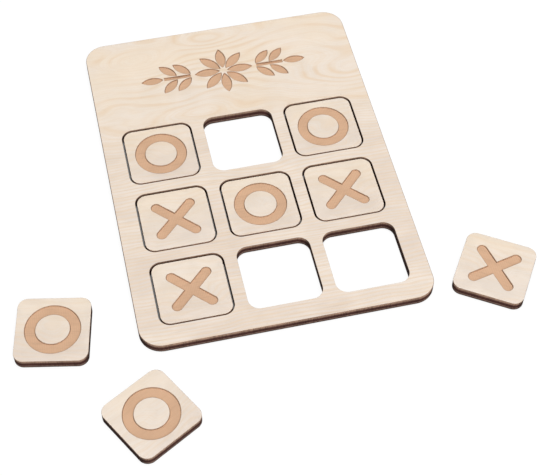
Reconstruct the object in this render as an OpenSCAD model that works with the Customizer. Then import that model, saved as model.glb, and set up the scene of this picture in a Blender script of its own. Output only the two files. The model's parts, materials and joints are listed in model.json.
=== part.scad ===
// Tic tac toe set, laser cut from one sheet of three-ply wood: a board with a header and nine
// windows, and nine square tiles engraved with a ring or a cross. Six tiles are seated in their
// windows and three lie loose beside the board. Board and tiles rest on the plane Z = 0.
// The origin is the centre of the board's outline on that plane. +X runs to the board's right,
// +Y up the board towards its header, and +Z up.

/* [Sheet] */
// Thickness of the three-ply sheet that the board and the tiles are cut from
sheet_t = 4; // [3:0.5:6]
// Thickness of the middle ply
core_t = 1.4; // [0.8:0.1:2]
// Depth of the engraving in the face ply
engrave_depth = 0.4; // [0.2:0.05:0.5]

/* [Board] */
// Width of the wood between two windows
web_w = 5; // [3:0.5:10]
// Width of the rim beside the windows
side_rim_w = 8.25; // [5:0.25:15]
// Width of the rim below the windows
bottom_rim_w = 8.25; // [5:0.25:15]
// Height of the plain header above the windows
header_h = 50.5; // [36:0.5:80]
// Radius of the board's corners
board_corner_r = 8.6; // [2:0.2:15]

/* [Tiles] */
// Side of a square tile
tile_w = 27.5; // [24:0.5:40]
// Radius of a tile's corners
tile_corner_r = 3.9; // [1:0.1:6]
// Clearance between a seated tile and each side of its window
tile_clearance = 0.75; // [0.3:0.05:1]
// How far a seated tile lies towards the board's bottom edge within that clearance
tile_settle = 0.2; // [0:0.05:0.25]

/* [Marks] */
// Width of the engraved stroke of a ring or a cross
mark_stroke = 3.85; // [2:0.05:5]
// Outside diameter of the engraved ring
ring_d = 20.75; // [14:0.25:22]
// Length of a cross's arm between the centres of its round ends
cross_l = 19; // [12:0.5:20]

/* [Header ornament] */
// Number of petals in the rosette
petals = 8; // [5:1:8]
// Length of a petal
petal_l = 10.5; // [7:0.5:13]
// Greatest width of a petal
petal_w = 4; // [2:0.2:4.4]
// Free radius in the middle of the rosette
rosette_eye_r = 1.8; // [1:0.2:3]
// Space between the rosette and the sprig on each side
sprig_gap = 2; // [1:0.2:4]
// Number of pairs of leaves on a sprig
leaf_pairs = 2; // [1:1:2]
// Distance between two pairs of leaves along the stem
leaf_pitch = 6; // [4:0.5:7]
// Length of a leaf
leaf_l = 9; // [5:0.2:10]
// Greatest width of a leaf
leaf_w = 3.6; // [2:0.2:4]
// Angle between a leaf and the stem
leaf_angle = 45; // [30:1:60]
// Space between a leaf and the stem
leaf_gap = 0.5; // [0.3:0.1:1]
// Width of the stem
stem_w = 1.4; // [0.8:0.1:2]

/* [Loose tiles] */
// Space between the board's left edge and the loose tile on the left
left_gap = 14.6; // [5:0.1:30]
// Height of that tile's centre above the board's bottom edge
left_rise = 16; // [-20:0.1:120]
// Turn of that tile
left_turn = -11.1; // [-90:0.1:90]
// Space between the board's bottom edge and the loose tile below it
below_gap = 7.8; // [5:0.1:30]
// Distance of that tile's centre from the board's left edge, to the right
below_run = -0.9; // [-10:0.1:100]
// Turn of that tile
below_turn = 29.5; // [-90:0.1:90]
// Space between the board's right edge and the loose tile on the right
right_gap = 5.2; // [4:0.1:30]
// Height of that tile's centre above the board's bottom edge
right_rise = 6.9; // [-20:0.1:120]
// Turn of that tile
right_turn = -32.5; // [-90:0.1:90]

/* [Hidden] */
$fn = 96;
// Cuts run past the faces they pass through by this much
over = 1;

// A face ply and a back ply share what the middle ply leaves of the sheet
outer_t = (sheet_t - core_t) / 2;
core_z = outer_t;
face_z = outer_t + core_t;

window_w = tile_w + 2 * tile_clearance;
window_corner_r = tile_corner_r + tile_clearance;
pitch = window_w + web_w;
grid_w = 3 * window_w + 2 * web_w;
board_w = grid_w + 2 * side_rim_w;
board_h = header_h + grid_w + bottom_rim_w;
board_left = -board_w / 2;
board_right = board_w / 2;
board_bottom = -board_h / 2;
grid_y = board_bottom + bottom_rim_w + grid_w / 2;
header_y = board_h / 2 - header_h / 2;

// Tiles: name, mark, centre and turn. Columns and rows count -1, 0, 1 to the right and up.
NAME = 0;
MARK = 1;
PLACE = 2;
TURN = 3;
function seat(column, row) = [column * pitch, grid_y + row * pitch - tile_settle];
function half_span(turn) = tile_w / 2 * (abs(cos(turn)) + abs(sin(turn)));
left_place = [board_left - left_gap - half_span(left_turn), board_bottom + left_rise];
below_place = [board_left + below_run, board_bottom - below_gap - half_span(below_turn)];
right_place = [board_right + right_gap + half_span(right_turn), board_bottom + right_rise];
TILES = [
    ["o_tile_1", "ring", seat(-1, 1), 0],
    ["o_tile_2", "ring", seat(1, 1), 0],
    ["x_tile_1", "cross", seat(-1, 0), 0],
    ["o_tile_3", "ring", seat(0, 0), 0],
    ["x_tile_2", "cross", seat(1, 0), 0],
    ["x_tile_3", "cross", seat(-1, -1), 0],
    ["o_tile_4", "ring", left_place, left_turn],
    ["o_tile_5", "ring", below_place, below_turn],
    ["x_tile_4", "cross", right_place, right_turn],
];

face_colour = "#EBDDCB";
core_colour = "#6A4B3E";
back_colour = "#DCC8AC";

// A rectangle with round corners, centred on the origin
module rounded_rectangle(width, height, radius) {
    square([width - 2 * radius, height], center = true);
    square([width, height - 2 * radius], center = true);
    for (x = [-1, 1], y = [-1, 1])
        translate([x * (width / 2 - radius), y * (height / 2 - radius)])
            circle(r = radius);
}

// A leaf or petal that grows from the origin along +X: the space that two arcs share
module leaf(length, width) {
    arc_r = (length * length + width * width) / (4 * width);
    intersection() {
        translate([length / 2, arc_r - width / 2])
            circle(r = arc_r);
        translate([length / 2, width / 2 - arc_r])
            circle(r = arc_r);
    }
}

module ring_mark() {
    difference() {
        circle(d = ring_d);
        circle(d = ring_d - 2 * mark_stroke);
    }
}

module cross_mark() {
    for (turn = [45, -45])
        rotate(turn) {
            square([cross_l, mark_stroke], center = true);
            for (end = [-1, 1])
                translate([end * cross_l / 2, 0])
                    circle(d = mark_stroke);
        }
}

// The engraving tool's path: what it takes out of the face ply
module engraving() {
    translate([0, 0, sheet_t - engrave_depth])
        linear_extrude(engrave_depth + over)
            children();
}

// A straight stem along +X, pairs of leaves beside it and one leaf past its end
module sprig() {
    stem_l = leaf_pairs * leaf_pitch;
    engraving()
        translate([0, -stem_w / 2])
            square([stem_l - leaf_gap, stem_w]);
    for (pair = [0 : leaf_pairs - 1], side = [-1, 1])
        engraving()
            translate([pair * leaf_pitch, side * (stem_w / 2 + leaf_gap)])
                rotate(side * leaf_angle)
                    leaf(leaf_l, leaf_w);
    engraving()
        translate([stem_l, 0])
            leaf(leaf_l, leaf_w);
}

// A rosette with a sprig on each side
module header_ornament() {
    for (petal = [0 : petals - 1])
        engraving()
            rotate(petal * 360 / petals)
                translate([rosette_eye_r, 0])
                    leaf(petal_l, petal_w);
    for (side = [0, 180])
        rotate(side)
            translate([rosette_eye_r + petal_l + sprig_gap, 0, 0])
                sprig();
}

// One ply of the board, with its nine windows
module board_ply(bottom, thickness) {
    difference() {
        translate([0, 0, bottom])
            linear_extrude(thickness)
                rounded_rectangle(board_w, board_h, board_corner_r);
        for (column = [-1, 0, 1], row = [-1, 0, 1])
            translate([column * pitch, grid_y + row * pitch, bottom - over])
                linear_extrude(thickness + 2 * over)
                    rounded_rectangle(window_w, window_w, window_corner_r);
    }
}

// One ply of a tile, centred on the origin
module tile_ply(bottom, thickness) {
    translate([0, 0, bottom])
        linear_extrude(thickness)
            rounded_rectangle(tile_w, tile_w, tile_corner_r);
}

module board_face_ply() {
    color(face_colour)
        difference() {
            board_ply(face_z, outer_t);
            translate([0, header_y, 0])
                header_ornament();
        }
}

module board_core_ply() {
    color(core_colour)
        board_ply(core_z, core_t);
}

module board_back_ply() {
    color(back_colour)
        board_ply(0, outer_t);
}

module tile_face_ply(mark) {
    color(face_colour)
        difference() {
            tile_ply(face_z, outer_t);
            engraving()
                if (mark == "ring")
                    ring_mark();
                else
                    cross_mark();
        }
}

module tile_core_ply() {
    color(core_colour)
        tile_ply(core_z, core_t);
}

module tile_back_ply() {
    color(back_colour)
        tile_ply(0, outer_t);
}

// Puts a tile's ply where that tile lies
module place(tile) {
    translate([tile[PLACE].x, tile[PLACE].y, 0])
        rotate(tile[TURN])
            children();
}

board_face_ply();
board_core_ply();
board_back_ply();
for (tile = TILES) {
    place(tile) tile_face_ply(tile[MARK]);
    place(tile) tile_core_ply();
    place(tile) tile_back_ply();
}
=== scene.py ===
"""The looks of a plywood tic tac toe set: a laminated board, its engraved tiles and a studio."""

import json
import math
from collections import namedtuple

import bmesh
import bpy
from bpy.props import FloatProperty, FloatVectorProperty, IntProperty, PointerProperty
from mathutils import Matrix, Vector

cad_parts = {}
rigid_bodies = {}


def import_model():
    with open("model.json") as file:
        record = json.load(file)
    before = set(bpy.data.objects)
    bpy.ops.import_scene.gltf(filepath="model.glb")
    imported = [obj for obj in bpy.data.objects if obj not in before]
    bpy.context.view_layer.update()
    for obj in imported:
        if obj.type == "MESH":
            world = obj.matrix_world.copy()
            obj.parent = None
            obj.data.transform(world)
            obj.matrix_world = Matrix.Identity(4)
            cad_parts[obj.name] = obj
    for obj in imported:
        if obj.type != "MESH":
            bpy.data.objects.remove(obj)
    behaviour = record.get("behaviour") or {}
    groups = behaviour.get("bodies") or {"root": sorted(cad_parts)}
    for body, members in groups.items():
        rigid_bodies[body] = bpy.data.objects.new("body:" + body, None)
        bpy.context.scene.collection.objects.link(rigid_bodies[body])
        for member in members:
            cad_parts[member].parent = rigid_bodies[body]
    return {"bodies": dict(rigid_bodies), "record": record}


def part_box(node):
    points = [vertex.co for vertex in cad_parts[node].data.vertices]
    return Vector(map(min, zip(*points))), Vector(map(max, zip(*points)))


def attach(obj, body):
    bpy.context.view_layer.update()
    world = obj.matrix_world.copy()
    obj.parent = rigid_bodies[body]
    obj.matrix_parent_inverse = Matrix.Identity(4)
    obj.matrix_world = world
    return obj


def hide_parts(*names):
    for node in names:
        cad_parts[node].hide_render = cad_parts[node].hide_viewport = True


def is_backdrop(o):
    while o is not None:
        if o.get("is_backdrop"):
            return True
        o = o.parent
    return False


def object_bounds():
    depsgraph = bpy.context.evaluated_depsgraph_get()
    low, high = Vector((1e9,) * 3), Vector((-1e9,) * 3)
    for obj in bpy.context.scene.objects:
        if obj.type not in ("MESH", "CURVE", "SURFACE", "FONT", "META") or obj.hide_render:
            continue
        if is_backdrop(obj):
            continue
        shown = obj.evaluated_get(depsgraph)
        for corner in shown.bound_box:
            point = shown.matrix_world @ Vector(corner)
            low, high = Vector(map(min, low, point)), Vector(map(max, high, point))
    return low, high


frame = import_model()
cad_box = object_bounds()

bl_info = {
    "name": "Plywood tic tac toe set",
    "version": (1, 0, 0),
    "blender": (4, 5, 0),
    "location": "3D View > Sidebar > Tic tac toe",
    "description": "Laminates and engraves the board and its tiles, and lights them",
    "category": "Add Mesh",
}

MM = 0.001
PLIES = ("face", "core", "back")
# Material slots of every ply, in the order in which a piece holds them
FACE, CUT, ENGRAVED, SCORCHED_AND_SHADED = range(4)
CORNER_STEPS = 16
RING_STEPS = 160
LEAF_STEPS = 14
ARRIS_STEPS = 2
# Faces that meet at more than this keep a crisp edge
CRISP_ANGLE = math.radians(20)
# A cut closer than this to a vertex goes through it
CUT_SNAP = 1e-7
# Half the side of the floor in metres, and its squares along each side
FLOOR_REACH = 2.5
FLOOR_SQUARES = 8


def length(name, description, default, **limits):
    """A size in metres, given in millimetres."""
    return FloatProperty(
        name=name, description=description, default=default * MM, unit="LENGTH", precision=5, **limits
    )


def location(name, description, default):
    """A point in metres, given in millimetres."""
    return FloatVectorProperty(
        name=name, description=description, default=[c * MM for c in default], size=3, precision=5,
        subtype="TRANSLATION", unit="LENGTH",
    )


def number(name, description, default, **options):
    """A plain number that isn't negative."""
    return FloatProperty(name=name, description=description, default=default, min=0, **options)


def colour(name, description, default):
    """A scene-linear colour."""
    return FloatVectorProperty(
        name=name, description=description, default=default, size=3, min=0, max=1, subtype="COLOR"
    )


def angle(name, description, default):
    """An angle in radians, given in degrees."""
    return FloatProperty(
        name=name, description=description, default=math.radians(default), subtype="ANGLE", unit="ROTATION"
    )


class SheetSettings(bpy.types.PropertyGroup):
    """Sizes of the laser-cut sheet that the frame's boxes don't give."""

    board_corner: length("Board corner", "Radius of the board's corners", 8.6, min=0)
    tile_corner: length("Tile corner", "Radius of a tile's corners", 3.9, min=0)
    clearance: length("Clearance", "Gap between a tile and each side of its window", 0.75, min=0)
    board_arris: length("Board arris", "Rounding of the board's outer edges", 0.17, min=0)
    tile_arris: length("Tile arris", "Rounding of a tile's edges", 0.07, min=0)
    window_arris: length("Window arris", "Rounding of a window's edges", 0.045, min=0)
    glue_arris: length("Glue line", "Rounding of a ply's edge along a glue line", 0.05, min=0)
    left_turn: angle("Left tile", "Turn of the loose tile on the left", -11.1)
    below_turn: angle("Lower tile", "Turn of the loose tile below the board", 29.5)
    right_turn: angle("Right tile", "Turn of the loose tile on the right", -32.5)


class EngravingSettings(bpy.types.PropertyGroup):
    """Sizes of the engraved marks and of the header's ornament."""

    depth: length("Depth", "Depth of the engraving in the face ply", 0.4, min=0)
    stroke: length("Stroke", "Width of a ring's or a cross's stroke", 3.85, min=0)
    ring_diameter: length("Ring", "Outside diameter of a ring", 20.75, min=0)
    cross_length: length("Cross", "Length of an arm between the centres of its round ends", 19, min=0)
    rim: length("Rim", "Chamfer that the beam burns along the rim of a mark", 0.1, min=0)
    # The halo is partly real scorch and partly painted shade along a mark's rim
    scorch_and_shade_halo: length("Halo", "Width of the browned line on the surface round a mark", 0.09, min=0)
    taper: length("Taper", "How far a mark's wall leans inwards down to its floor", 0.1, min=0)
    raster: length("Raster", "Distance between two passes of the engraving beam", 0.66, min=0)
    raster_depth: length("Raster depth", "Depth of the groove that a pass leaves", 0.045, min=0)
    petals: IntProperty(name="Petals", description="Number of petals in the rosette", default=8, min=3)
    petal_length: length("Petal length", "Length of a petal", 10.5, min=0)
    petal_width: length("Petal width", "Greatest width of a petal", 4, min=0)
    eye: length("Rosette eye", "Free radius in the middle of the rosette", 1.8, min=0)
    sprig_gap: length("Sprig gap", "Space between the rosette and a sprig", 2, min=0)
    leaf_pairs: IntProperty(name="Leaf pairs", description="Pairs of leaves on a sprig", default=2, min=1)
    leaf_pitch: length("Leaf pitch", "Distance between two pairs of leaves", 6, min=0)
    leaf_length: length("Leaf length", "Length of a leaf", 9, min=0)
    leaf_width: length("Leaf width", "Greatest width of a leaf", 3.6, min=0)
    leaf_angle: angle("Leaf angle", "Angle between a leaf and the stem", 45)
    leaf_gap: length("Leaf gap", "Space between a leaf and the stem", 0.5, min=0)
    stem_width: length("Stem", "Width of the stem", 1.4, min=0)


class WoodSettings(bpy.types.PropertyGroup):
    """Colours of the birch, its figure, its burnt edges and the painted shade on two sides of an edge."""

    sapwood: colour("Sapwood", "Palest tone of the face veneer", (0.84, 0.75, 0.67))
    warm: colour("Warm tone", "Yellower tone of the face veneer", (0.845, 0.725, 0.595))
    rosy: colour("Rosy tone", "Pinker tone of the face veneer", (0.76, 0.665, 0.595))
    latewood: colour("Latewood", "Lines of the growth figure", (0.76, 0.57, 0.385))
    fleck: colour("Fleck", "Short brown flecks in the veneer", (0.52, 0.35, 0.21))
    engraved: colour("Engraved", "Floor of an engraving", (0.68, 0.425, 0.27))
    scorched: colour("Scorched", "Rim of an engraving", (0.27, 0.17, 0.12))
    wall: colour("Engraving wall", "Side of an engraving", (0.5, 0.31, 0.2))
    face_edge: colour("Face ply edge", "Cut edge of the face ply", (0.53, 0.335, 0.24))
    core_edge: colour("Core edge", "Cut edge of the core, burnt darkest", (0.107, 0.042, 0.034))
    back_edge: colour("Back ply edge", "Cut edge of the back ply", (0.235, 0.145, 0.115))
    # Char tones the beam tracks, and darkens a cut edge towards its lower end
    char: colour("Char", "Soot along the glue lines and the lower arris", (0.028, 0.012, 0.011))
    # Painted shade: the dark tone that the two sides of a cut edge facing along X are mixed towards
    painted_side_shade: colour("Soot", "Soot on the two sides along the smoke", (0.02, 0.0135, 0.0135))


class StageSettings(bpy.types.PropertyGroup):
    """The camera, the lights and the floor."""

    aim: location("Aim", "Point on the table that the camera looks at", (2.55, -36.16, 0))
    distance: length("Distance", "From the camera to that point", 515.6)
    azimuth: angle("Azimuth", "Turn of the view from +Y towards +X", 13.09)
    elevation: angle("Elevation", "Height of the camera above the table", 53.84)
    roll: angle("Roll", "Turn of the camera about its own axis", 0.45)
    lens: number("Lens", "Focal length on a 36 mm sensor", 86.06, unit="CAMERA")
    floor_colour: colour("Floor", "Plain pale floor", (0.34, 0.34, 0.34))
    floor_shade: number("Floor shade", "Share of the floor's colour that the camera sees", 0.3, max=1)
    glow: number("Floor glow", "Brightness that the floor adds of its own", 0.91)
    # The glow fades near wood as painted shade in narrow gaps and at the foot of each piece
    gap_glow: number("Gap glow", "Share of the glow that is left in a narrow gap", 0.1, max=1)
    gap_reach: length("Gap reach", "How far the floor looks for wood that darkens it", 5, min=0)
    sky: number("Sky", "Strength of the even light all round", 0.14)
    key: number("Key", "Power of the large soft light", 11.35, unit="POWER")
    key_size: length("Key size", "Side of the large soft light", 900, min=0)
    key_place: location("Key place", "Where the large soft light hangs", (90, 70, 1100))
    key_tint: colour("Key tint", "Colour of the large soft light", (1.0, 1.0, 0.99))
    fill: number("Fill", "Power of the weaker soft light", 5.0, unit="POWER")
    fill_size: length("Fill size", "Side of the weaker soft light", 600, min=0)
    fill_place: location("Fill place", "Where the weaker soft light hangs", (100, -1000, 600))
    fill_tint: colour("Fill tint", "Colour of the weaker soft light", (1.0, 1.0, 1.0))


# ---------------------------------------------------------------- outlines


def edges_between(verts):
    """The edges whose two ends are both among these vertices."""
    chosen = set(verts)
    edges = dict.fromkeys(e for v in verts for e in v.link_edges)
    return [e for e in edges if chosen.issuperset(e.verts)]


def rectangle(bm, width, height, centre):
    """The vertices of a flat rectangle about a centre."""
    verts = bmesh.ops.create_grid(bm, x_segments=1, y_segments=1, size=0.5)["verts"]
    bmesh.ops.scale(bm, vec=(width, height, 1), verts=verts)
    bmesh.ops.translate(bm, vec=centre, verts=verts)
    return verts


def rounded_loop(bm, width, height, radius, z, grow=0.0, centre=(0, 0)):
    """A closed loop of edges round a rectangle with round corners, grown outwards by grow."""
    verts = rectangle(bm, width + 2 * grow, height + 2 * grow, (*centre, z))
    made = bmesh.ops.bevel(
        bm, geom=verts, offset=radius + grow, offset_type="OFFSET", segments=CORNER_STEPS,
        profile=0.5, affect="VERTICES", material=-1,
    )
    return open_loop(bm, made["verts"])


def open_loop(bm, verts):
    """Removes the one face that these vertices bound, and returns its edges."""
    face = next(f for f in verts[0].link_faces if verts[-1] in f.verts)
    edges = list(face.edges)
    bmesh.ops.delete(bm, geom=[face], context="FACES_ONLY")
    return edges


def ring_loop(bm, diameter, z):
    """A closed loop of edges round a circle."""
    verts = bmesh.ops.create_circle(bm, cap_ends=False, segments=RING_STEPS, radius=diameter / 2)["verts"]
    bmesh.ops.translate(bm, vec=(0, 0, z), verts=verts)
    return edges_between(verts)


def cross_loop(bm, stroke, arm, z):
    """A closed loop of edges round a diagonal cross with round ends."""
    verts = bmesh.ops.create_grid(bm, x_segments=3, y_segments=3, size=0.5)["verts"]
    reach = (arm + stroke) / 2
    inner = stroke / 2
    # The grid's lines lie at 1/6 and 1/2 on each side of its middle
    between_lines = 1 / 3
    for v in verts:
        v.co.x = math.copysign(reach if abs(v.co.x) > between_lines else inner, v.co.x)
        v.co.y = math.copysign(reach if abs(v.co.y) > between_lines else inner, v.co.y)
    past_inner = (reach + inner) / 2
    corners = [v for v in verts if min(abs(v.co.x), abs(v.co.y)) > past_inner]
    bmesh.ops.delete(bm, geom=corners, context="VERTS")
    verts = [v for v in verts if v.is_valid]
    bmesh.ops.dissolve_faces(bm, faces=list({f for v in verts for f in v.link_faces}))
    verts = [v for v in verts if v.is_valid]
    tips = [v for v in verts if max(abs(v.co.x), abs(v.co.y)) > past_inner]
    notches = [v for v in verts if v not in tips]
    # Just short of half the stroke, so that the two roundings of an arm don't meet
    made = bmesh.ops.bevel(
        bm, geom=tips, offset=inner * 0.9999, offset_type="OFFSET", segments=CORNER_STEPS,
        profile=0.5, affect="VERTICES", material=-1,
    )
    verts = notches + made["verts"]
    bmesh.ops.rotate(bm, cent=(0, 0, 0), matrix=Matrix.Rotation(math.radians(45), 3, "Z"), verts=verts)
    bmesh.ops.translate(bm, vec=(0, 0, z), verts=verts)
    return open_loop(bm, verts)


def leaf_loop(bm, size, width, place, z, grow=0.0):
    """A closed loop of edges round a leaf that lies along +X from its foot, put at place. A pointed
    end moves out further than the sides do."""
    tip_growth = 1.5 * grow
    place = place @ Matrix.Translation((-tip_growth, 0, 0))
    size, width = size + 2 * tip_growth, width + 2 * grow
    arc_radius = (size * size + width * width) / (4 * width)
    half_angle = math.asin(size / 2 / arc_radius)
    verts = []
    for side in (-1, 1):
        base = bmesh.ops.create_vert(bm, co=(0, 0, z))["vert"][0]
        centre = (size / 2, side * (arc_radius - width / 2), z)
        bmesh.ops.spin(
            bm, geom=[base], cent=centre, axis=(0, 0, 1), angle=side * 2 * half_angle,
            steps=LEAF_STEPS, use_merge=False,
        )
        verts += chain_from(base)
    bmesh.ops.remove_doubles(bm, verts=verts, dist=size / 1000)
    verts = [v for v in verts if v.is_valid]
    bmesh.ops.transform(bm, matrix=place, verts=verts)
    return edges_between(verts)


def chain_from(vert):
    """Every vertex joined to this one by edges."""
    found = [vert]
    for v in found:
        found += [e.other_vert(v) for e in v.link_edges if e.other_vert(v) not in found]
    return found


def sprig_loops(bm, engraving, z, grow):
    """The loops of one sprig along +X: a stem, its pairs of leaves and the leaf at its tip."""
    start = engraving.eye + engraving.petal_length + engraving.sprig_gap
    stem = engraving.leaf_pairs * engraving.leaf_pitch
    clear = engraving.stem_width / 2 + engraving.leaf_gap
    places = [Matrix.Translation((start + stem, 0, 0))]
    for pair in range(engraving.leaf_pairs):
        for side in (-1, 1):
            foot = Matrix.Translation((start + pair * engraving.leaf_pitch, side * clear, 0))
            places.append(foot @ Matrix.Rotation(side * engraving.leaf_angle, 4, "Z"))
    size, width = engraving.leaf_length, engraving.leaf_width
    loops = [leaf_loop(bm, size, width, place, z, grow) for place in places]
    stem -= engraving.leaf_gap
    bar = rectangle(bm, stem, engraving.stem_width + 2 * grow, (start + stem / 2, 0, z))
    loops.append(open_loop(bm, bar))
    return loops


def ornament_loops(bm, engraving, centre, z, grow=0.0):
    """The loops of the header's ornament: a rosette with a sprig on each side."""
    loops = []
    for petal in range(engraving.petals):
        turn = Matrix.Rotation(petal * math.tau / engraving.petals, 4, "Z")
        place = turn @ Matrix.Translation((engraving.eye, 0, 0))
        loops.append(leaf_loop(bm, engraving.petal_length, engraving.petal_width, place, z, grow))
    for turn in (0, math.pi):
        sprig = sprig_loops(bm, engraving, z, grow)
        verts = list({v for loop in sprig for e in loop for v in e.verts})
        bmesh.ops.rotate(bm, cent=(0, 0, 0), matrix=Matrix.Rotation(turn, 3, "Z"), verts=verts)
        loops += sprig
    verts = list({v for loop in loops for e in loop for v in e.verts})
    bmesh.ops.translate(bm, vec=(centre[0], centre[1], 0), verts=verts)
    return [[loop] for loop in loops]


# ---------------------------------------------------------------- plies


def arris_profile(bottom, top, arrises):
    """How far the wall of a ply stands back from its outline at each height, from the top down."""
    top_arris, bottom_arris = arrises
    steps = [math.pi / 2 * step / ARRIS_STEPS for step in range(ARRIS_STEPS + 1)]
    upper = [(top_arris * (1 - math.sin(a)), top - top_arris * (1 - math.cos(a))) for a in steps]
    lower = [(bottom_arris * (1 - math.sin(a)), bottom + bottom_arris * (1 - math.cos(a))) for a in steps]
    return upper + lower[::-1]


def bridge(bm, upper, lower, material):
    """Faces between two loops of edges."""
    for face in bmesh.ops.bridge_loops(bm, edges=upper + lower)["faces"]:
        face.material_index = material


def fill(bm, loops, material):
    """Flat faces inside the first loop and outside the others."""
    edges = [e for loop in loops for e in loop]
    made = bmesh.ops.triangle_fill(bm, use_beauty=True, use_dissolve=False, edges=edges, normal=(0, 0, 1))
    faces = [g for g in made["geom"] if isinstance(g, bmesh.types.BMFace)]
    for face in faces:
        face.material_index = material
    return faces


def cut_raster(bm, faces, engraving):
    """Grooves along Y in the floor of an engraving, one for each pass of the beam."""
    spots = [v.co.x for f in faces for v in f.verts]
    half = engraving.raster / 2
    first, last = math.ceil(min(spots) / half), math.floor(max(spots) / half)
    geom = list(dict.fromkeys(g for f in faces for g in (f, *f.edges, *f.verts)))
    for line in range(first, last + 1):
        cut = bmesh.ops.bisect_plane(
            bm, geom=geom, dist=CUT_SNAP, plane_co=(line * half, 0, 0), plane_no=(1, 0, 0)
        )
        geom = cut["geom"]
        if line % 2:
            verts = [g for g in cut["geom_cut"] if isinstance(g, bmesh.types.BMVert)]
            bmesh.ops.translate(bm, vec=(0, 0, -engraving.raster_depth), verts=verts)


def build_ply(outlines, bottom, top, marks=None, engraving=None):
    """The mesh of one ply. Each outline is a function that makes its loop at a height and a growth,
    with the roundings of its two edges: the outer one first, then the holes. Marks makes the loops of
    each engraved shape at a height and a growth."""
    bm = bmesh.new()
    upper, lower = [], []
    for outline, arrises in outlines:
        outwards = 1 if upper else -1
        profile = arris_profile(bottom, top, arrises)
        loops = [outline(bm, z=z, grow=outwards * back) for back, z in profile]
        for above, below in zip(loops, loops[1:]):
            bridge(bm, above, below, CUT)
        upper.append(loops[0])
        lower.append(loops[-1])
    shapes = marks(bm, z=top, grow=engraving.rim + engraving.scorch_and_shade_halo) if marks else []
    fill(bm, upper + [shape[0] for shape in shapes], FACE)
    fill(bm, lower, FACE)
    floors = []
    if marks:
        # The browned line, partly scorch and partly painted shade, falls a little on its way to the mark
        halo_drop = engraving.rim / 5
        steps = ((halo_drop, engraving.rim), (engraving.rim, 0), (engraving.depth, -engraving.taper))
        levels = [shapes] + [marks(bm, z=top - down, grow=grow) for down, grow in steps]
        for shape in zip(*levels):
            for loops in zip(*shape):
                for above, below in zip(loops, loops[1:]):
                    bridge(bm, above, below, SCORCHED_AND_SHADED)
            floors += fill(bm, shape[-1], ENGRAVED)
            for island in shape[0][1:]:
                fill(bm, [island], FACE)
        cut_raster(bm, floors, engraving)
    if not all(edge.is_manifold for edge in bm.edges):
        raise RuntimeError(f"The ply between {bottom} and {top} m isn't closed")
    bmesh.ops.recalc_face_normals(bm, faces=bm.faces)
    for face in bm.faces:
        face.smooth = True
    mesh = bpy.data.meshes.new("ply")
    bm.to_mesh(mesh)
    bm.free()
    mesh.set_sharp_from_angle(angle=CRISP_ANGLE)
    return mesh


def ply_range(body, ply):
    """Lowest and highest Z of a body's ply."""
    low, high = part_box(f"{body}_{ply}_ply")
    return low.z, high.z


def ply_arrises(sheet, ply, arris):
    """Rounding of a ply's upper and lower edge: soft outside, tight at a glue line."""
    tight = min(arris, sheet.glue_arris)
    return arris if ply == "face" else tight, arris if ply == "back" else tight


def add_ply(body, ply, mesh, materials):
    """Shows a mesh in place of a body's CAD ply."""
    node = f"{body}_{ply}_ply"
    mesh.name = f"{body}_{ply}_veneer"
    piece = bpy.data.objects.new(mesh.name, mesh)
    bpy.context.scene.collection.objects.link(piece)
    for material in materials:
        mesh.materials.append(material)
    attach(piece, body)
    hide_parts(node)


def window_centres():
    """Centres of the nine windows, from the open ones that the frame states."""
    boxes = {o["name"]: o["box_m"] for o in frame["record"]["physics"]["openings"]}
    middle = {name: [(low + high) / 2 for low, high in zip(*box)] for name, box in boxes.items()}
    top, bottom = middle["window_top_middle"], middle["window_bottom_middle"]
    pitch = (top[1] - bottom[1]) / 2
    centre_y = (top[1] + bottom[1]) / 2
    steps = (-1, 0, 1)
    return [(top[0] + column * pitch, centre_y + row * pitch) for row in steps for column in steps]


def tile_side():
    """Side of a tile, from one that isn't turned."""
    low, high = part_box("o_tile_1_core_ply")
    return high.x - low.x


def header_centre(sheet):
    """Middle of the plain header above the windows."""
    low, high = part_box("board_face_ply")
    window_top = max(y for x, y in window_centres()) + tile_side() / 2 + sheet.clearance
    return (low.x + high.x) / 2, (window_top + high.y) / 2


# ---------------------------------------------------------------- materials

# Growth figures. Waves of this size along and across the grain swing the lines, rings lie a pitch
# apart, and each eye is a spot, its size and its rise. Every other pair is a value at the low Y and one
# at the high Y: how far the waves swing the lines, the strength of each kind of line, and how much the
# mottle and a painted shade darken the wood.
HEADER_FIGURE = {
    "low": 0.0, "high": 46 * MM, "wave": (44 * MM, 22 * MM),
    "swing": (9 * MM, 38 * MM), "pitch": 6.0 * MM,
    "bands": (0.2, 0.66), "hairlines": (0.5, 0.12), "streaks": (0.3, 0.03),
    "mottle": (0.055, 0.02), "shade": (0.0, 0.01),
    "eyes": (
        ((-38 * MM, 66 * MM), (14 * MM, 7 * MM), 17 * MM),
        ((-2 * MM, 73 * MM), (17 * MM, 6 * MM), 13 * MM),
        ((54 * MM, 44 * MM), (20 * MM, 10 * MM), 17 * MM),
        ((-14 * MM, 33 * MM), (13 * MM, 6 * MM), -10 * MM),
    ),
}
BACK_FIGURE = {
    "low": -70 * MM, "high": 70 * MM, "wave": (60 * MM, 30 * MM),
    "swing": (20 * MM, 10 * MM), "pitch": 5.0 * MM,
    "bands": (0.6, 0.6), "hairlines": (0.2, 0.2), "streaks": (0.16, 0.16),
    "mottle": (0.04, 0.04), "shade": (0.0, 0.0),
    "eyes": (((18 * MM, 50 * MM), (26 * MM, 9 * MM), 16 * MM),),
}
TILE_FIGURE = {
    "low": -14 * MM, "high": 14 * MM, "wave": (20 * MM, 10 * MM),
    "swing": (12 * MM, 8 * MM), "pitch": 2.6 * MM,
    "bands": (0.34, 0.3), "hairlines": (0.2, 0.12), "streaks": (0.05, 0.02),
    "mottle": (0.06, 0.05), "shade": (0.01, 0.035),
    "eyes": (((2 * MM, -3 * MM), (7 * MM, 5 * MM), 6 * MM),),
}
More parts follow.
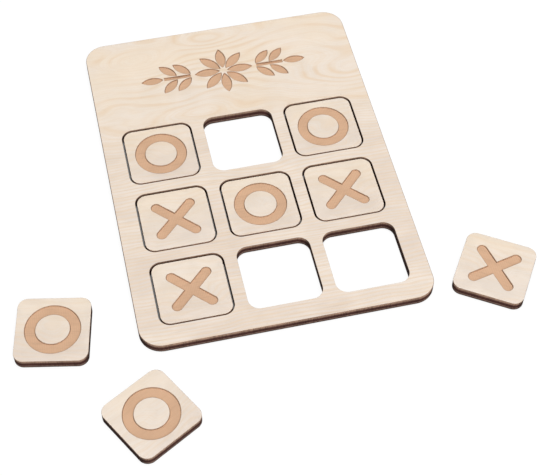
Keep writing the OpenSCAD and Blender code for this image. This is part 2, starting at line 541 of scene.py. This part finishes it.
# Pitch of the hairlines as a share of the rings' pitch
HAIRLINE_PITCH = 0.27
# How far the drift moves the lines from its lowest to its highest
DRIFT_SWING = 2.2 * MM
# A pattern of this size through the sheet doesn't change with depth
EVEN = 1.0
# Size of a noise's spots along the grain, across it and through the sheet
FACE_SPOTS = {
    "drift": (22 * MM, 5 * MM, EVEN),
    "patches": (26 * MM, 11 * MM, EVEN),
    "fibre": (12 * MM, 0.34 * MM, 0.34 * MM),
    "hair": (3 * MM, 0.12 * MM, 0.12 * MM),
    "streaks": (26 * MM, 0.6 * MM, EVEN),
    "flecks": (1.3 * MM, 0.17 * MM, 0.17 * MM),
    "cloud": (30 * MM, 16 * MM, EVEN),
    "mottle": (9 * MM, 6 * MM, EVEN),
}
ENGRAVED_SPOTS = {
    "fibre": (9 * MM, 0.4 * MM, 0.4 * MM),
    "tone": (9 * MM, 7 * MM, EVEN),
    "dots": (0.25 * MM, 0.8 * MM, EVEN),
}
EDGE_SPOTS = {
    "tracks": (0.35 * MM, 0.35 * MM, 6 * MM),
    "blotch": (5 * MM, 5 * MM, 1.2 * MM),
    "grain": (6 * MM, 6 * MM, 0.14 * MM),
}
# How much a cut edge is scorched at its upper arris, darkened towards its lower end, and darkened by
# painted shade on the two sides that face along the piece's X
BurnAndShade = namedtuple("BurnAndShade", "arris below sides")
BURNS_AND_SHADES = {"face": BurnAndShade(0.85, 0.6, 0.62), "core": BurnAndShade(0.2, 0.5, 0.62), "back": BurnAndShade(0.1, 0.75, 0.62)}
# Engraving walls: scorched at the top, with painted shade on the two sides that face along X
WALL_BURN_AND_SHADE = BurnAndShade(0.6, 0.0, 0.45)
BLACK = (0, 0, 0)
# Depth of the relief of a sanded or engraved face, and of a cut edge
FACE_RELIEF = 0.03 * MM
EDGE_RELIEF = 0.08 * MM


def scaled(tone, share):
    """A colour made darker or lighter by a share."""
    return tuple(min(1, c * share) for c in tone)


class Shader:
    """Adds nodes to one material and links them."""

    def __init__(self, name):
        self.material = bpy.data.materials.new(name)
        self.material.use_nodes = True
        self.tree = self.material.node_tree
        self.surface = self.tree.nodes["Principled BSDF"]

    def add(self, kind, inputs=(), **settings):
        """A node with its settings, and its inputs as values or as sockets to link."""
        node = self.tree.nodes.new("ShaderNode" + kind)
        for name, value in settings.items():
            setattr(node, name, value)
        for key, value in dict(inputs).items():
            self.feed(node.inputs[key], value)
        return node

    def feed(self, socket, value):
        """Links a socket to an input, or sets the input's value."""
        if isinstance(value, bpy.types.NodeSocket):
            self.tree.links.new(value, socket)
        else:
            socket.default_value = value

    def math(self, operation, *values):
        """The result of a Math node."""
        return self.add("Math", enumerate(values), operation=operation).outputs[0]

    def local(self, centre=(0, 0), turn=0.0):
        """Object coordinates about a piece's own centre, with X along its grain."""
        here = self.add("TexCoord").outputs["Object"]
        inputs = {"Vector": here, "Location": (*centre, 0), "Rotation": (0, 0, turn)}
        return self.add("Mapping", inputs, vector_type="TEXTURE").outputs[0]

    def noise(self, place, size, seed=0.0, detail=2.0, roughness=0.5):
        """Noise from 0 to 1 whose spots have about this size in metres along X, Y and Z."""
        away = (seed, seed * 0.7, seed * 1.3)
        inputs = {"Vector": place, "Location": away, "Scale": [1 / s for s in size]}
        spot = self.add("Mapping", inputs).outputs[0]
        inputs = {"Vector": spot, "Scale": 1.0, "Detail": detail, "Roughness": roughness}
        return self.add("TexNoise", inputs).outputs["Fac"]

    def ramp(self, value, *stops):
        """A value run through a ramp of (position, level) stops."""
        node = self.add("ValToRGB", {"Fac": value})
        points = node.color_ramp.elements
        for position, level in stops[2:]:
            points.new(position)
        for point, (position, level) in zip(points, stops):
            point.position = position
            point.color = (level, level, level, 1)
        return node.outputs["Color"]

    def between(self, value, low, high, start=0.0, end=1.0):
        """A value's share of the way from low to high, run smoothly from start to end."""
        inputs = {"Value": value, "From Min": low, "From Max": high, "To Min": start, "To Max": end}
        return self.add("MapRange", inputs, interpolation_type="SMOOTHSTEP").outputs[0]

    def swell(self, place, spot, size, rise):
        """A smooth hump of this rise round a spot, which turns nearby lines into nested ovals."""
        inputs = {"Vector": place, "Location": (*spot, 0), "Scale": (*size, EVEN)}
        near = self.add("Mapping", inputs, vector_type="TEXTURE").outputs[0]
        squared = self.add("VectorMath", {0: near, 1: near}, operation="DOT_PRODUCT").outputs["Value"]
        return self.math("MULTIPLY", self.math("EXPONENT", self.math("MULTIPLY", squared, -1.0)), rise)

    def rings(self, height, pitch):
        """Soft lines at every pitch of a height, sharper on their upper side."""
        phase = self.math("FRACT", self.math("DIVIDE", height, pitch))
        return self.ramp(phase, (0.0, 0.1), (0.12, 0.0), (0.42, 0.1), (0.72, 1.0), (0.86, 0.62), (1.0, 0.1))

    def vary(self, share, pair):
        """A value that runs from the first of a pair to the second with a share."""
        return self.math("MULTIPLY_ADD", share, pair[1] - pair[0], pair[0])

    def mix(self, share, first, second):
        """Two colours mixed by a share."""
        node = self.add("Mix", data_type="RGBA")
        share_input, first_input, second_input = (node.inputs[i] for i in (0, 6, 7))
        self.feed(share_input, share)
        for socket, value in ((first_input, first), (second_input, second)):
            self.feed(socket, value if isinstance(value, bpy.types.NodeSocket) else (*value, 1))
        return node.outputs[2]

    def finish(self, base, roughness, height, depth, gloss=0.28):
        """Wires the surface's colour, roughness and relief, sets its gloss, and returns the material."""
        bump = self.add("Bump", {"Height": height, "Distance": depth, "Strength": 1.0})
        self.feed(self.surface.inputs["Base Color"], base)
        self.feed(self.surface.inputs["Roughness"], roughness)
        self.feed(self.surface.inputs["Normal"], bump.outputs["Normal"])
        self.surface.inputs["Specular IOR Level"].default_value = gloss
        return self.material


def birch_face(name, wood, figure, centre=(0, 0), turn=0.0, seed=0.0):
    """Sanded birch veneer with a growth figure that runs along X."""
    s = Shader(name)
    here = s.local(centre, turn)
    across = s.add("SeparateXYZ", {"Vector": here}).outputs[1]
    share = s.between(across, figure["low"], figure["high"])
    swirl = s.noise(here, (*figure["wave"], EVEN), seed, detail=1.5)
    drift = s.noise(here, FACE_SPOTS["drift"], seed + 3)
    swing = s.vary(share, figure["swing"])
    height = s.math("MULTIPLY_ADD", s.math("SUBTRACT", swirl, 0.5), swing, across)
    height = s.math("MULTIPLY_ADD", s.math("SUBTRACT", drift, 0.5), DRIFT_SWING, height)
    for spot, size, rise in figure["eyes"]:
        height = s.math("ADD", height, s.swell(here, spot, size, rise))
    rings = s.rings(height, figure["pitch"])
    hairlines = s.rings(height, HAIRLINE_PITCH * figure["pitch"])
    patches = s.between(s.noise(here, FACE_SPOTS["patches"], seed + 7), 0.36, 0.62, 0.2, 1.0)
    fibre = s.noise(here, FACE_SPOTS["fibre"], seed + 11, detail=4.0, roughness=0.62)
    hair = s.noise(here, FACE_SPOTS["hair"], seed + 13)
    streaks = s.between(s.noise(here, FACE_SPOTS["streaks"], seed + 15), 0.56, 0.74)
    flecks = s.between(s.noise(here, FACE_SPOTS["flecks"], seed + 17, detail=1.0), 0.68, 0.8)
    cloud = s.between(s.noise(here, FACE_SPOTS["cloud"], seed + 19, detail=2.5), 0.32, 0.68)
    mottle = s.between(s.noise(here, FACE_SPOTS["mottle"], seed + 21), 0.36, 0.64)
    base = s.mix(share, wood.rosy, wood.warm)
    base = s.mix(s.math("MULTIPLY", cloud, 0.8), base, wood.sapwood)
    layers = (
        ("mottle", mottle, BLACK),
        # Painted shade: darkens the face evenly at each Y, more towards one end
        ("shade", 1.0, BLACK),
        ("bands", s.math("MULTIPLY", rings, patches), wood.latewood),
        ("hairlines", hairlines, wood.latewood),
        ("streaks", streaks, wood.fleck),
    )
    for kind, pattern, tone in layers:
        base = s.mix(s.math("MULTIPLY", pattern, s.vary(share, figure[kind])), base, tone)
    base = s.mix(s.between(fibre, 0.42, 0.72, 0.0, 0.2), base, wood.latewood)
    base = s.mix(s.math("MULTIPLY", flecks, 0.3), base, wood.fleck)
    rough = s.between(fibre, 0.2, 0.8, 0.56, 0.74)
    relief = s.math("ADD", s.math("MULTIPLY", fibre, 0.7), s.math("MULTIPLY", hair, 0.3))
    relief = s.math("SUBTRACT", relief, s.math("MULTIPLY", flecks, 0.4))
    return s.finish(base, rough, relief, FACE_RELIEF)


def engraved_floor(name, wood, engraving, centre=(0, 0), turn=0.0, seed=0.0):
    """Wood browned by the engraving beam, with the tracks of its passes."""
    s = Shader(name)
    here = s.local(centre, turn)
    along = s.add("SeparateXYZ", {"Vector": here}).outputs[0]
    track = s.math("SINE", s.math("MULTIPLY", along, math.tau / engraving.raster))
    track = s.math("MULTIPLY_ADD", track, 0.5, 0.5)
    fibre = s.noise(here, ENGRAVED_SPOTS["fibre"], seed + 23, detail=3.0)
    tone = s.noise(here, ENGRAVED_SPOTS["tone"], seed + 29)
    dots = s.noise(here, ENGRAVED_SPOTS["dots"], seed + 31, detail=1.0)
    base = s.mix(s.between(tone, 0.3, 0.7, 0.0, 0.6), wood.engraved, scaled(wood.engraved, 0.86))
    base = s.mix(s.math("MULTIPLY", track, 0.32), base, scaled(wood.engraved, 0.74))
    base = s.mix(s.between(fibre, 0.45, 0.8, 0.0, 0.22), base, wood.scorched)
    base = s.mix(s.between(dots, 0.6, 0.8, 0.0, 0.12), base, wood.sapwood)
    rough = s.between(dots, 0.2, 0.8, 0.72, 0.9)
    return s.finish(base, rough, s.math("ADD", fibre, dots), FACE_RELIEF)


def cut_edge(name, wood, tone, bottom, top, burn_and_shade, turn=0.0):
    """The laser-cut edge of a ply: vertical beam tracks, a scorched arris, darkening towards the lower end
    and painted shade on two sides.
    """
    s = Shader(name)
    here = s.local()
    z = s.add("SeparateXYZ", {"Vector": here}).outputs[2]
    tracks = s.noise(here, EDGE_SPOTS["tracks"], 37, detail=3.0)
    blotch = s.noise(here, EDGE_SPOTS["blotch"], 41, detail=3.0)
    grain = s.noise(here, EDGE_SPOTS["grain"], 43, detail=3.0)
    # Painted shade: the two sides that face along the piece's X are darkened as if they lay in shade
    normal = s.add("TexCoord").outputs["Normal"]
    sideways = (math.cos(turn), math.sin(turn), 0)
    facing = s.add("VectorMath", {0: normal, 1: sideways}, operation="DOT_PRODUCT").outputs["Value"]
    side_shade_share = s.between(s.math("ABSOLUTE", facing), 0.55, 0.95, 0.0, burn_and_shade.sides)
    base = s.mix(s.between(blotch, 0.3, 0.7), tone, scaled(tone, 1.4))
    base = s.mix(s.between(tracks, 0.4, 0.7, 0.0, 0.4), base, wood.char)
    base = s.mix(s.between(grain, 0.5, 0.75, 0.0, 0.3), base, scaled(tone, 0.5))
    base = s.mix(s.between(z, top - 0.16 * MM, top - 0.02 * MM, 0.0, burn_and_shade.arris), base, wood.scorched)
    # Darker towards the ply's lower end
    base = s.mix(s.between(z, bottom + 0.7 * (top - bottom), bottom, 0.0, burn_and_shade.below), base, wood.char)
    base = s.mix(side_shade_share, base, wood.painted_side_shade)
    relief = s.math("ADD", s.math("MULTIPLY", tracks, 0.7), s.math("MULTIPLY", grain, 0.3))
    rough = s.between(blotch, 0.2, 0.8, 0.7, 0.9)
    return s.finish(base, rough, relief, EDGE_RELIEF, gloss=0.08)


def cut_edges(wood, turn=0.0):
    """One cut-edge material for each ply, for pieces that lie at this turn."""
    tones = {"face": wood.face_edge, "core": wood.core_edge, "back": wood.back_edge}
    made = {}
    for ply in PLIES:
        name = f"cut edge of {ply} ply at {math.degrees(turn):.1f} degrees"
        bottom, top = ply_range("board", ply)
        known = bpy.data.materials.get(name)
        made[ply] = known or cut_edge(name, wood, tones[ply], bottom, top, BURNS_AND_SHADES[ply], turn)
    return made


def scorched_and_shaded_wall(wood):
    """The low walls round an engraving, scorched where they meet the face, with painted shade on two sides.
    """
    name = "scorched and shaded engraving wall"
    bottom, top = ply_range("board", "face")
    return bpy.data.materials.get(name) or cut_edge(name, wood, wood.wall, bottom, top, WALL_BURN_AND_SHADE)


# ---------------------------------------------------------------- pieces


class TTT_OT_board(bpy.types.Operator):
    """Lay up the board from its three plies, with windows and the engraved header"""

    bl_idname = "ttt.board"
    bl_label = "Board"

    def execute(self, context):
        sheet, engraving = context.scene.ttt_sheet, context.scene.ttt_engraving
        wood = context.scene.ttt_wood
        low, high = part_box("board_face_ply")
        window = tile_side() + 2 * sheet.clearance
        header = header_centre(sheet)

        def outer(bm, z, grow):
            return rounded_loop(bm, high.x - low.x, high.y - low.y, sheet.board_corner, z, grow)

        def hole_at(centre):
            corner = sheet.tile_corner + sheet.clearance
            return lambda bm, z, grow: rounded_loop(bm, window, window, corner, z, grow, centre)

        def marks(bm, z, grow=0.0):
            return ornament_loops(bm, engraving, header, z, grow)

        holes = [hole_at(centre) for centre in window_centres()]
        faces = {
            "face": birch_face("birch board face", wood, HEADER_FIGURE, seed=2.0),
            "core": birch_face("birch board core", wood, BACK_FIGURE, turn=math.pi / 2, seed=31.0),
            "back": birch_face("birch board back", wood, BACK_FIGURE, seed=57.0),
        }
        edges = cut_edges(wood)
        floor = engraved_floor("engraved header", wood, engraving, seed=3.0)
        for ply in PLIES:
            bottom, top = ply_range("board", ply)
            shapes = marks if ply == "face" else None
            outlines = [(outer, ply_arrises(sheet, ply, sheet.board_arris))]
            outlines += [(hole, ply_arrises(sheet, ply, sheet.window_arris)) for hole in holes]
            mesh = build_ply(outlines, bottom, top, shapes, engraving)
            add_ply("board", ply, mesh, (faces[ply], edges[ply], floor, scorched_and_shaded_wall(wood)))
        return {"FINISHED"}


def tile_marks(body, engraving):
    """The loops of a tile's mark, by the letter that its name starts with."""

    def ring(bm, z, grow=0.0):
        outer = engraving.ring_diameter + 2 * grow
        return [[ring_loop(bm, outer, z), ring_loop(bm, outer - 2 * engraving.stroke - 4 * grow, z)]]

    def cross(bm, z, grow=0.0):
        return [[cross_loop(bm, engraving.stroke + 2 * grow, engraving.cross_length, z)]]

    return ring if body.startswith("o_") else cross


def build_tile(context, body, seed):
    """Lays up one tile from its three plies and puts it where the frame has it."""
    sheet, engraving = context.scene.ttt_sheet, context.scene.ttt_engraving
    wood = context.scene.ttt_wood
    turns = {"o_tile_4": sheet.left_turn, "o_tile_5": sheet.below_turn, "x_tile_4": sheet.right_turn}
    turn = turns.get(body, 0.0)
    side = tile_side()
    low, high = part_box(f"{body}_core_ply")
    centre = ((low.x + high.x) / 2, (low.y + high.y) / 2)
    place = Matrix.Translation((*centre, 0)) @ Matrix.Rotation(turn, 4, "Z")

    def outer(bm, z, grow):
        return rounded_loop(bm, side, side, sheet.tile_corner, z, grow)

    edges = cut_edges(wood, turn)
    floor = engraved_floor(f"engraved {body}", wood, engraving, centre, turn, seed)
    for ply in PLIES:
        bottom, top = ply_range(body, ply)
        grain = turn + (math.pi / 2 if ply == "core" else 0.0)
        ply_seed = seed + 5 * PLIES.index(ply)
        face = birch_face(f"birch {body} {ply}", wood, TILE_FIGURE, centre, grain, ply_seed)
        shapes = tile_marks(body, engraving) if ply == "face" else None
        outlines = [(outer, ply_arrises(sheet, ply, sheet.tile_arris))]
        mesh = build_ply(outlines, bottom, top, shapes, engraving)
        mesh.transform(place)
        add_ply(body, ply, mesh, (face, edges[ply], floor, scorched_and_shaded_wall(wood)))


class TTT_OT_ring_tiles(bpy.types.Operator):
    """Lay up the tiles engraved with a ring"""

    bl_idname = "ttt.ring_tiles"
    bl_label = "Ring tiles"

    def execute(self, context):
        for order, body in enumerate(sorted(b for b in frame["bodies"] if b.startswith("o_"))):
            build_tile(context, body, 60 + 11 * order)
        return {"FINISHED"}


class TTT_OT_cross_tiles(bpy.types.Operator):
    """Lay up the tiles engraved with a cross"""

    bl_idname = "ttt.cross_tiles"
    bl_label = "Cross tiles"

    def execute(self, context):
        for order, body in enumerate(sorted(b for b in frame["bodies"] if b.startswith("x_"))):
            build_tile(context, body, 140 + 13 * order)
        return {"FINISHED"}


# ---------------------------------------------------------------- stage


def add_area_light(name, position, size, power, tint):
    """A square soft light that points at the origin."""
    data = bpy.data.lights.new(name, "AREA")
    data.size = size
    data.energy = power
    data.color = tint
    light = bpy.data.objects.new(name, data)
    turned = (-Vector(position)).to_track_quat("-Z", "Y").to_matrix().to_4x4()
    light.matrix_world = Matrix.Translation(position) @ turned
    bpy.context.scene.collection.objects.link(light)


def add_camera(stage):
    """The camera, placed by its aim, distance and angles."""
    data = bpy.data.cameras.new("camera")
    data.sensor_width = 36
    data.lens = stage.lens
    level, down = math.cos(stage.elevation), math.sin(stage.elevation)
    towards = Vector((math.sin(stage.azimuth) * level, math.cos(stage.azimuth) * level, -down))
    camera = bpy.data.objects.new("camera", data)
    turned = towards.to_track_quat("-Z", "Y").to_matrix().to_4x4() @ Matrix.Rotation(stage.roll, 4, "Z")
    camera.matrix_world = Matrix.Translation(Vector(stage.aim) - towards * stage.distance) @ turned
    bpy.context.scene.collection.objects.link(camera)
    bpy.context.scene.camera = camera


def add_floor(stage):
    """A wide pale floor at the height that the board rests on."""
    bm = bmesh.new()
    bmesh.ops.create_grid(bm, x_segments=FLOOR_SQUARES, y_segments=FLOOR_SQUARES, size=FLOOR_REACH)
    mesh = bpy.data.meshes.new("floor")
    bm.to_mesh(mesh)
    bm.free()
    s = Shader("pale floor")
    grain = s.noise(s.local(), (4 * MM, 4 * MM, 4 * MM), detail=3.0)
    base = s.mix(grain, stage.floor_colour, scaled(stage.floor_colour, 0.99))
    seen = s.add("LightPath").outputs["Is Camera Ray"]
    base = s.mix(seen, base, scaled(stage.floor_colour, stage.floor_shade))
    # Painted shade: the glow fades where wood stands close, so narrow gaps and the foot of each piece look
    # shaded
    clear = s.add("AmbientOcclusion", {"Distance": stage.gap_reach}).outputs["AO"]
    glow = s.math("MULTIPLY", seen, s.between(clear, 0.1, 0.42, stage.gap_glow, 1.0))
    s.surface.inputs["Emission Color"].default_value = (1, 1, 1, 1)
    s.feed(s.surface.inputs["Emission Strength"], s.math("MULTIPLY", glow, stage.glow))
    mesh.materials.append(s.finish(base, 0.9, grain, 0.01 * MM))
    floor = bpy.data.objects.new("floor", mesh)
    bpy.context.scene.collection.objects.link(floor)
    floor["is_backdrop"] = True


def studio_world(stage):
    """An even pale light all round, which the camera sees as white."""
    world = bpy.data.worlds.new("studio")
    world.use_nodes = True
    tree = world.node_tree
    seen = tree.nodes.new("ShaderNodeLightPath").outputs["Is Camera Ray"]
    strength = tree.nodes.new("ShaderNodeMapRange")
    strength.inputs["To Min"].default_value = stage.sky
    strength.inputs["To Max"].default_value = 1.0
    background = tree.nodes["Background"].inputs
    background["Color"].default_value = (1, 1, 1, 1)
    tree.links.new(seen, strength.inputs["Value"])
    tree.links.new(strength.outputs[0], background["Strength"])
    return world


class TTT_OT_stage(bpy.types.Operator):
    """Set up the floor, the soft studio light and the camera"""

    bl_idname = "ttt.stage"
    bl_label = "Stage"

    def execute(self, context):
        stage = context.scene.ttt_stage
        add_camera(stage)
        add_floor(stage)
        add_area_light("key light", stage.key_place, stage.key_size, stage.key, stage.key_tint)
        add_area_light("fill light", stage.fill_place, stage.fill_size, stage.fill, stage.fill_tint)
        context.scene.world = studio_world(stage)
        context.scene.view_settings.view_transform = "Standard"
        return {"FINISHED"}


class TTT_PT_build(bpy.types.Panel):
    """Sizes, colours and build steps of the set"""

    bl_idname = "TTT_PT_build"
    bl_label = "Tic tac toe set"
    bl_space_type = "VIEW_3D"
    bl_region_type = "UI"
    bl_category = "Tic tac toe"

    def draw(self, context):
        for operator in OPERATORS:
            self.layout.operator(operator.bl_idname)
        for slot, settings in SETTINGS.items():
            box = self.layout.box()
            for name in settings.__annotations__:
                box.prop(getattr(context.scene, slot), name)


SETTINGS = {
    "ttt_sheet": SheetSettings,
    "ttt_engraving": EngravingSettings,
    "ttt_wood": WoodSettings,
    "ttt_stage": StageSettings,
}
OPERATORS = (TTT_OT_stage, TTT_OT_board, TTT_OT_ring_tiles, TTT_OT_cross_tiles)


def register():
    for item in (*SETTINGS.values(), *OPERATORS, TTT_PT_build):
        bpy.utils.register_class(item)
    for slot, settings in SETTINGS.items():
        setattr(bpy.types.Scene, slot, PointerProperty(type=settings))


def unregister():
    for slot in SETTINGS:
        delattr(bpy.types.Scene, slot)
    for item in (TTT_PT_build, *reversed(OPERATORS), *reversed(SETTINGS.values())):
        bpy.utils.unregister_class(item)


def main():
    register()
    bpy.ops.ttt.stage()
    bpy.ops.ttt.board()
    bpy.ops.ttt.ring_tiles()
    bpy.ops.ttt.cross_tiles()
    boxes = {"cad": cad_box, "visual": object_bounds()}
    {name: [[float(v) for v in corner] for corner in box] for name, box in boxes.items()}


if __name__ == "__main__":
    main()
